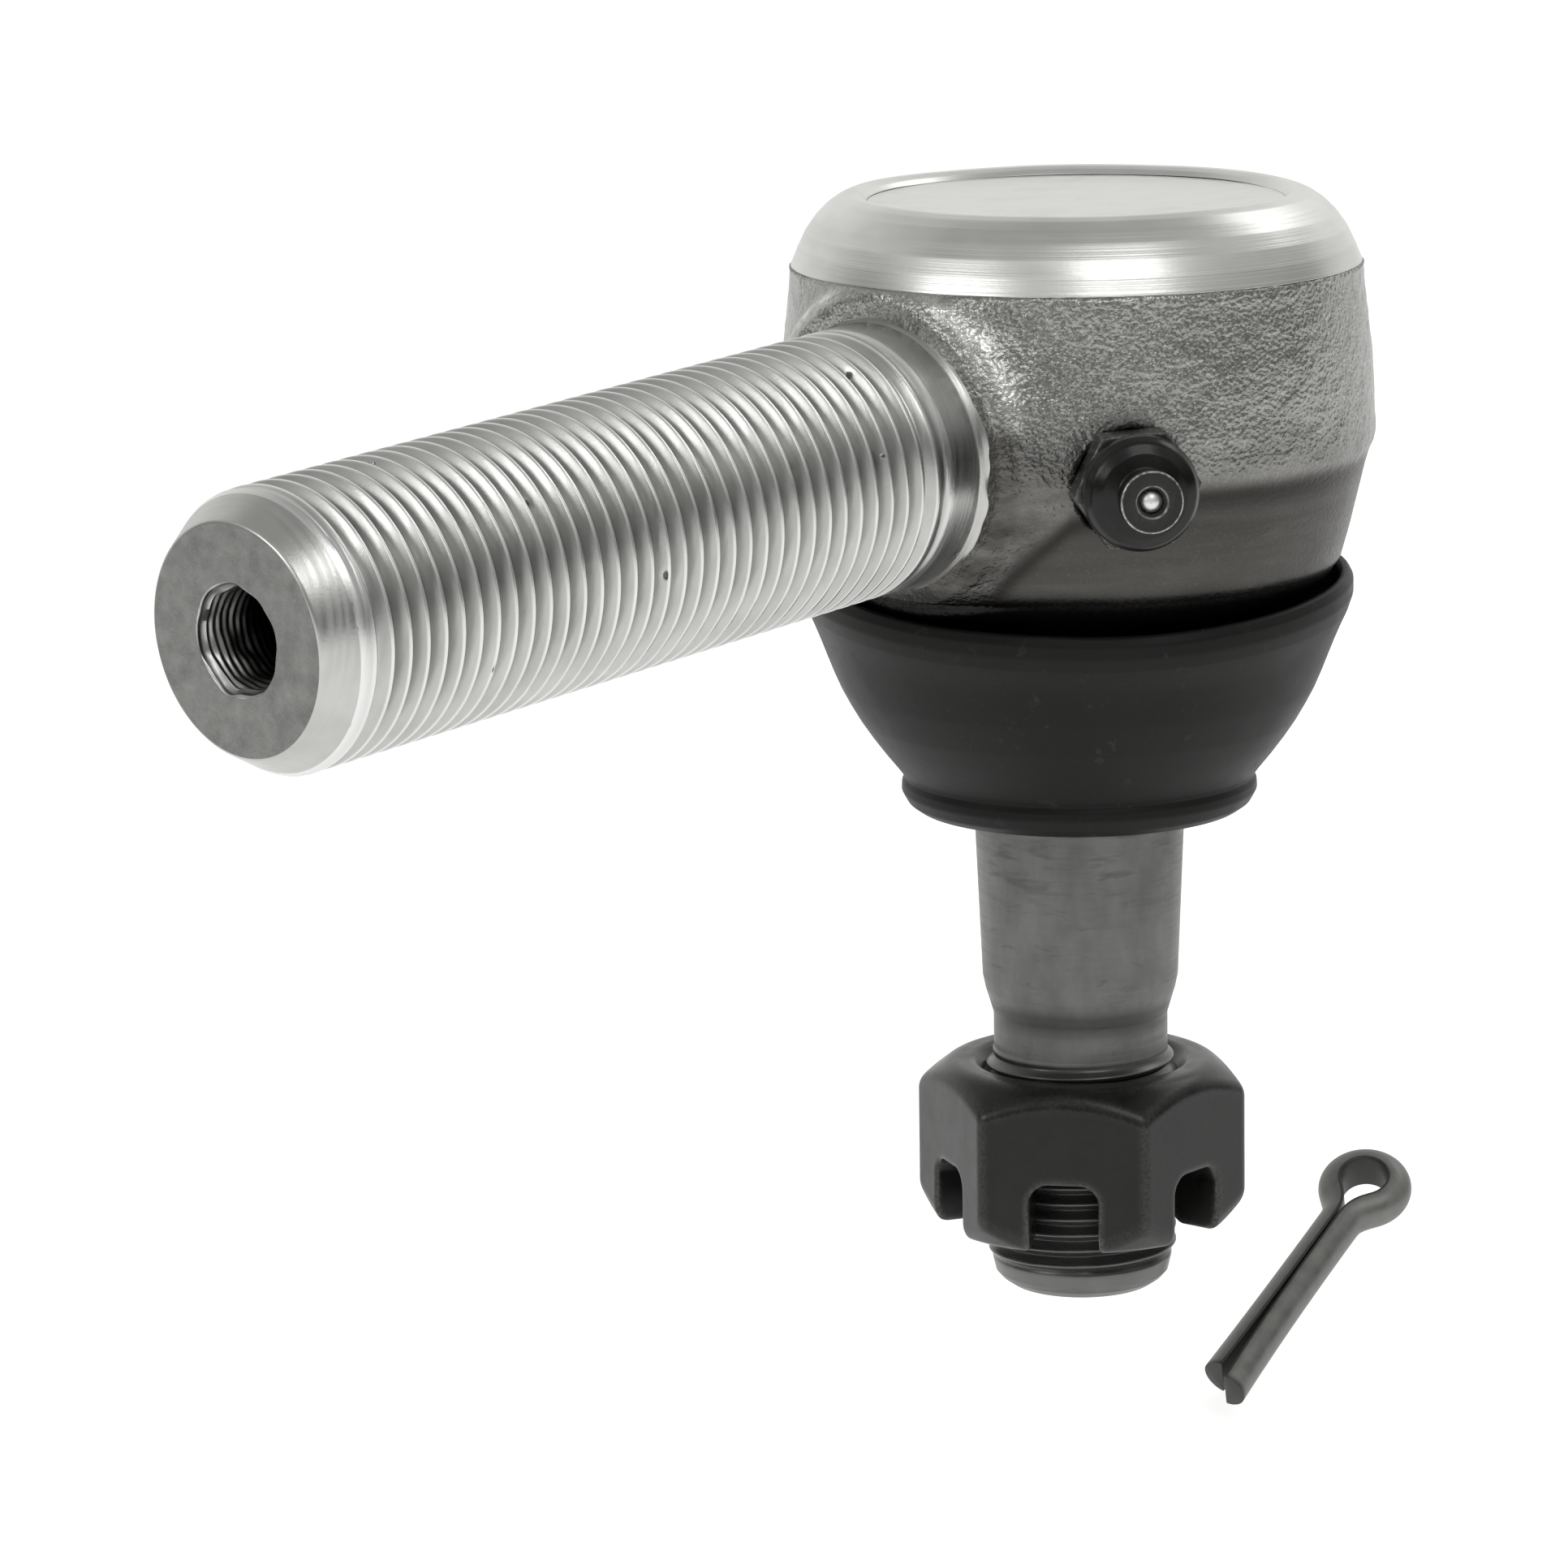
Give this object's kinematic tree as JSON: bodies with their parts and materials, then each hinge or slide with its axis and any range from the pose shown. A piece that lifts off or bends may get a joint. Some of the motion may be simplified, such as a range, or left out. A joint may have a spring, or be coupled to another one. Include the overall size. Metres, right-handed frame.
{
  "type": "tie rod end",
  "caption": "Steering tie rod end: forged ball socket with threaded shank, ball stud in a rubber boot, castle nut, grease fitting and loose cotter pin.",
  "frame": {"origin": "centre of the ball, where the shank's axis meets the socket's axis", "axes": "+Z along the socket's axis to its capped side, the stud hangs along -Z, the shank runs along -X and slopes 4 degrees down"},
  "size_m": [0.1543, 0.061, 0.1238],
  "materials": {
    "forged_steel": "shot-blasted forging with machined thread and rim",
    "bright_steel": "ground",
    "cover_steel": "satin",
    "phosphate_steel": "grey phosphate",
    "black_steel": "black oxide",
    "pin_steel": "dark satin",
    "rubber": "satin black"
  },
  "bodies": {
    "socket": {"housing": "forged_steel", "lower_seat": "bright_steel", "cover_plate": "cover_steel", "seal_ring": "rubber", "disc_spring": "bright_steel", "grease_fitting": "black_steel", "check_spring": "bright_steel"},
    "swivel": {"pressure_seat": "bright_steel"},
    "tilt": {"half_ball": "bright_steel", "boot_ring": "black_steel", "dust_boot": "rubber"},
    "stud": {"ball_stud": "phosphate_steel"},
    "nut": {"castle_nut": "black_steel"},
    "grease_check": {"check_ball": "bright_steel"},
    "pin": {"cotter_pin": "pin_steel"}
  },
  "joints": [
    {"name": "swivel", "type": "hinge", "parent": "socket", "child": "swivel", "pos_m": [0, 0, 0], "axis": [0, 0, 1], "continuous": true},
    {"name": "tilt", "type": "hinge", "parent": "swivel", "child": "tilt", "pos_m": [0, 0, 0], "axis": [1, 0, 0], "range_deg": [-20, 20], "deforming": ["dust_boot"]},
    {"name": "stud_spin", "type": "hinge", "parent": "tilt", "child": "stud", "pos_m": [0, 0, 0], "axis": [0, 0, 1], "continuous": true},
    {"name": "nut_turn", "type": "hinge", "parent": "stud", "child": "nut", "pos_m": [0, 0, -0.07425], "axis": [0, 0, 1], "continuous": true},
    {"name": "grease_valve", "type": "slide", "parent": "socket", "child": "grease_check", "axis": [0.6374, 0.7705, 0], "range_m": [0, 0.0012], "stiffness_N_per_m": 300, "springref_m": -0.0005, "deforming": ["check_spring"]},
    {"name": "pin_pull", "type": "slide", "parent": "socket", "child": "pin", "axis": [0.864, 0.0534, 0.5007], "range_m": [0, 0.035]}
  ]
}
